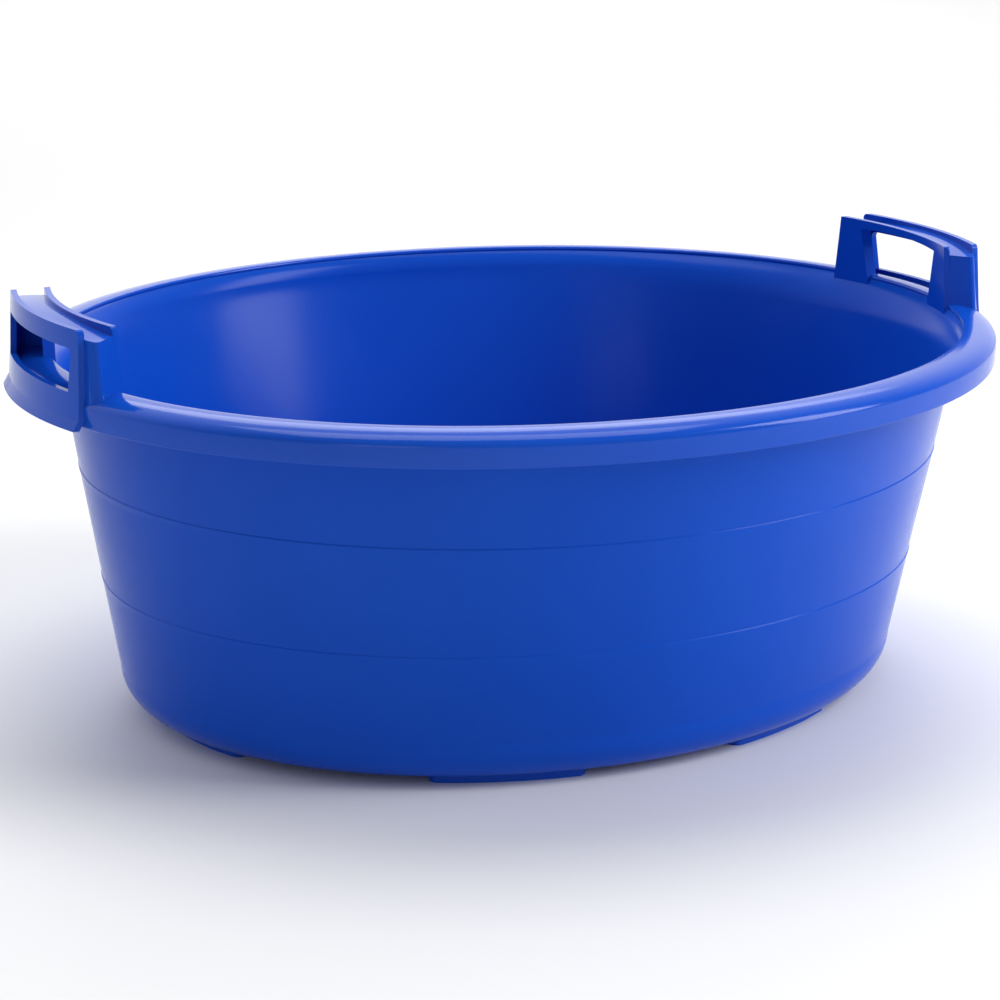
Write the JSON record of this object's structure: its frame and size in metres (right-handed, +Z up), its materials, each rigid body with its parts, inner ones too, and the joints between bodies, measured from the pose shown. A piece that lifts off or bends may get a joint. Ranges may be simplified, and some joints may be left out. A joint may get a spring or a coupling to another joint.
{
  "type": "feed bucket",
  "caption": "Low oval stable feed tub in blue plastic with tapered walls, a rolled rim and a raised cut-out grip at each end.",
  "frame": {"origin": "centre of the footprint, on the ground under the feet", "axes": "+X along the long axis towards one grip, +Y across the short axis, +Z up; the viewer of the source picture stands at -Y"},
  "size_m": [0.69, 0.5973, 0.291],
  "materials": {
    "wall_plastic": "satin moulded surface",
    "rim_plastic": "glossy moulded surface",
    "grip_plastic": "glossy moulded surface",
    "foot_plastic": "scuffed satin surface"
  },
  "bodies": {
    "root": {"floor_panel": "wall_plastic", "base_corner": "wall_plastic", "lower_wall": "wall_plastic", "middle_wall": "wall_plastic", "upper_wall": "wall_plastic", "rim_neck": "rim_plastic", "rim_top": "rim_plastic", "rim_skirt": "rim_plastic", "right_end_foot": "foot_plastic", "left_end_foot": "foot_plastic", "rear_right_foot": "foot_plastic", "rear_left_foot": "foot_plastic", "front_left_foot": "foot_plastic", "front_right_foot": "foot_plastic", "right_grip_outer_plate": "grip_plastic", "right_grip_inner_plate": "grip_plastic", "right_grip_channel_floor": "grip_plastic", "right_grip_front_post": "grip_plastic", "right_grip_rear_post": "grip_plastic", "right_grip_front_jamb": "grip_plastic", "right_grip_rear_jamb": "grip_plastic", "left_grip_outer_plate": "grip_plastic", "left_grip_inner_plate": "grip_plastic", "left_grip_channel_floor": "grip_plastic", "left_grip_front_post": "grip_plastic", "left_grip_rear_post": "grip_plastic", "left_grip_front_jamb": "grip_plastic", "left_grip_rear_jamb": "grip_plastic"}
  },
  "joints": []
}
